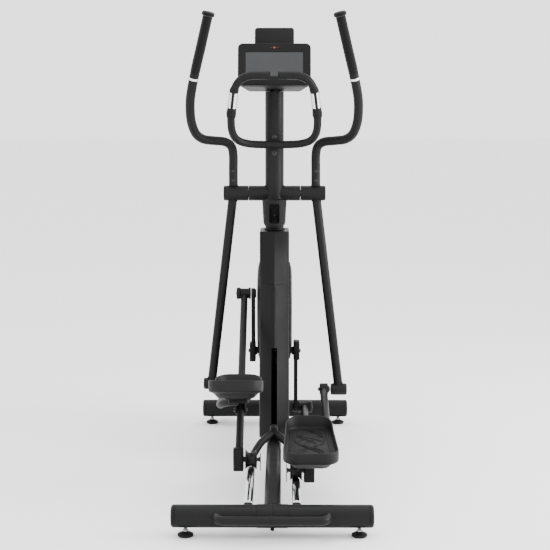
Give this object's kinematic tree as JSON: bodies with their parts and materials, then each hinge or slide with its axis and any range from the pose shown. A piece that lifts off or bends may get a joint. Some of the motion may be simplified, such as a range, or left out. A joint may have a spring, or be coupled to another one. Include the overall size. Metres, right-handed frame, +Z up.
{
  "type": "elliptical trainer",
  "caption": "Upright elliptical trainer with moving arms, rail-guided pedals, central drive casing, fixed pulse handlebar and a tablet-style console.",
  "frame": {"origin": "on the floor, under the middle of the bounding box", "axes": "+Z up, +Y forward from the pedals towards the console, +X to the user's right"},
  "size_m": [0.6485, 1.5776, 1.6451],
  "materials": {
    "frame_paint": "satin powder coat",
    "chrome_rail": "polished",
    "bare_steel": "satin",
    "flywheel_iron": "machined",
    "casing_plastic": "fine moulded texture",
    "black_plastic": "fine moulded texture",
    "console_plastic": "smooth satin",
    "screen": "dark display glass",
    "pedal_plastic": "coarse moulded texture",
    "pad_rubber": "matt",
    "grip_foam": "closed-cell foam",
    "belt_rubber": "matt",
    "roller_rubber": "satin urethane",
    "foot_rubber": "matt"
  },
  "bodies": {
    "frame": {"frame_spine": "frame_paint", "rear_stabilizer": "frame_paint", "front_stabilizer": "frame_paint", "rear_left_end_cap": "black_plastic", "rear_right_end_cap": "black_plastic", "front_left_end_cap": "black_plastic", "front_right_end_cap": "black_plastic", "left_rail": "chrome_rail", "right_rail": "chrome_rail", "rear_lift_handle": "frame_paint", "core_frame": "frame_paint", "mast": "frame_paint", "pivot_axle": "bare_steel", "left_casing": "casing_plastic", "right_casing": "casing_plastic", "left_side_cover": "casing_plastic", "right_side_cover": "casing_plastic", "bottle_holder": "black_plastic", "console_rear_shell": "black_plastic", "console_bezel": "console_plastic", "display_screen": "screen", "tablet_holder": "black_plastic", "pulse_handlebar": "frame_paint", "left_pulse_sleeve": "black_plastic", "right_pulse_sleeve": "black_plastic", "flywheel_axle": "bare_steel", "drive_belt": "belt_rubber", "left_crank_bearing": "bare_steel", "right_crank_bearing": "bare_steel"},
    "crank": {"crank_axle": "bare_steel", "drive_pulley": "black_plastic", "left_crank": "frame_paint", "right_crank": "frame_paint"},
    "flywheel": {"flywheel": "flywheel_iron"},
    "idler": {"idler_pulley": "black_plastic"},
    "brake": {"brake_magnet": "bare_steel"},
    "left_arm": {"left_swing_arm": "frame_paint", "left_handlebar": "frame_paint", "left_grip": "grip_foam"},
    "left_footlink": {"left_pedal_arm": "frame_paint", "left_pedal": "pedal_plastic", "left_pedal_pad": "pad_rubber"},
    "left_rod": {"left_rod": "frame_paint", "left_roller_axle": "bare_steel"},
    "left_roller": {"left_roller": "roller_rubber"},
    "right_arm": {"right_swing_arm": "frame_paint", "right_handlebar": "frame_paint", "right_grip": "grip_foam"},
    "right_footlink": {"right_pedal_arm": "frame_paint", "right_pedal": "pedal_plastic", "right_pedal_pad": "pad_rubber"},
    "right_rod": {"right_rod": "frame_paint", "right_roller_axle": "bare_steel"},
    "right_roller": {"right_roller": "roller_rubber"},
    "left_wheel": {"left_transport_wheel": "roller_rubber"},
    "right_wheel": {"right_transport_wheel": "roller_rubber"},
    "rear_left_leveler": {"rear_left_foot": "foot_rubber"},
    "rear_right_leveler": {"rear_right_foot": "foot_rubber"},
    "front_left_leveler": {"front_left_foot": "foot_rubber"},
    "front_right_leveler": {"front_right_foot": "foot_rubber"}
  },
  "joints": [
    {"name": "crank_spin", "type": "hinge", "parent": "frame", "child": "crank", "pos_m": [0, 0.378, 0.37], "axis": [1, 0, 0], "continuous": true},
    {"name": "flywheel_spin", "type": "hinge", "parent": "frame", "child": "flywheel", "pos_m": [0, 0.56, 0.3], "axis": [1, 0, 0], "continuous": true},
    {"name": "idler_spin", "type": "hinge", "parent": "frame", "child": "idler", "pos_m": [0, 0.57124, 0.39189], "axis": [1, 0, 0], "continuous": true},
    {"name": "brake_pivot", "type": "hinge", "parent": "frame", "child": "brake", "pos_m": [0.011, 0.58769, 0.40335], "axis": [1, 0, 0], "range_deg": [0, 8]},
    {"name": "left_swing", "type": "hinge", "parent": "frame", "child": "left_arm", "pos_m": [0, 0.35, 0.982], "axis": [1, 0, 0], "range_deg": [-14, 13]},
    {"name": "left_link_pivot", "type": "hinge", "parent": "left_arm", "child": "left_footlink", "pos_m": [0, 0.40025, 0.23469], "axis": [1, 0, 0], "range_deg": [-13, 14]},
    {"name": "left_rod_pivot", "type": "hinge", "parent": "left_footlink", "child": "left_rod", "pos_m": [0, -0.11145, 0.25209], "axis": [1, 0, 0], "range_deg": [-3.93, 3.65]},
    {"name": "left_roller_spin", "type": "hinge", "parent": "left_rod", "child": "left_roller", "pos_m": [-0.075, -0.28811, 0.125], "axis": [1, 0, 0], "continuous": true},
    {"name": "right_swing", "type": "hinge", "parent": "frame", "child": "right_arm", "pos_m": [0, 0.35, 0.982], "axis": [1, 0, 0], "range_deg": [-13, 14]},
    {"name": "right_link_pivot", "type": "hinge", "parent": "right_arm", "child": "right_footlink", "pos_m": [0, 0.30289, 0.23448], "axis": [1, 0, 0], "range_deg": [-14, 13]},
    {"name": "right_rod_pivot", "type": "hinge", "parent": "right_footlink", "child": "right_rod", "pos_m": [0, -0.19838, 0.13021], "axis": [1, 0, 0], "range_deg": [-1.41, 1.31]},
    {"name": "right_roller_spin", "type": "hinge", "parent": "right_rod", "child": "right_roller", "pos_m": [0.075, -0.41594, 0.125], "axis": [1, 0, 0], "continuous": true},
    {"name": "left_wheel_spin", "type": "hinge", "parent": "frame", "child": "left_wheel", "pos_m": [-0.2155, 0.765, 0.042], "axis": [1, 0, 0], "continuous": true},
    {"name": "right_wheel_spin", "type": "hinge", "parent": "frame", "child": "right_wheel", "pos_m": [0.2155, 0.765, 0.042], "axis": [1, 0, 0], "continuous": true},
    {"name": "rear_left_leveler_turn", "type": "hinge", "parent": "frame", "child": "rear_left_leveler", "pos_m": [-0.266, -0.7, 0], "axis": [0, 0, 1], "continuous": true},
    {"name": "rear_right_leveler_turn", "type": "hinge", "parent": "frame", "child": "rear_right_leveler", "pos_m": [0.266, -0.7, 0], "axis": [0, 0, 1], "continuous": true},
    {"name": "front_left_leveler_turn", "type": "hinge", "parent": "frame", "child": "front_left_leveler", "pos_m": [-0.262, 0.7, 0], "axis": [0, 0, 1], "continuous": true},
    {"name": "front_right_leveler_turn", "type": "hinge", "parent": "frame", "child": "front_right_leveler", "pos_m": [0.262, 0.7, 0], "axis": [0, 0, 1], "continuous": true}
  ],
  "couplings": [
    {"joint": "flywheel_spin", "follows": "crank_spin", "ratio": 6},
    {"joint": "idler_spin", "follows": "crank_spin", "ratio": -6},
    {"joint": "right_swing", "follows": "left_swing", "ratio": -1},
    {"joint": "left_link_pivot", "follows": "left_swing", "ratio": -1},
    {"joint": "right_link_pivot", "follows": "left_swing", "ratio": 1},
    {"joint": "left_rod_pivot", "follows": "left_swing", "ratio": 0.28},
    {"joint": "right_rod_pivot", "follows": "left_swing", "ratio": 0.1}
  ]
}
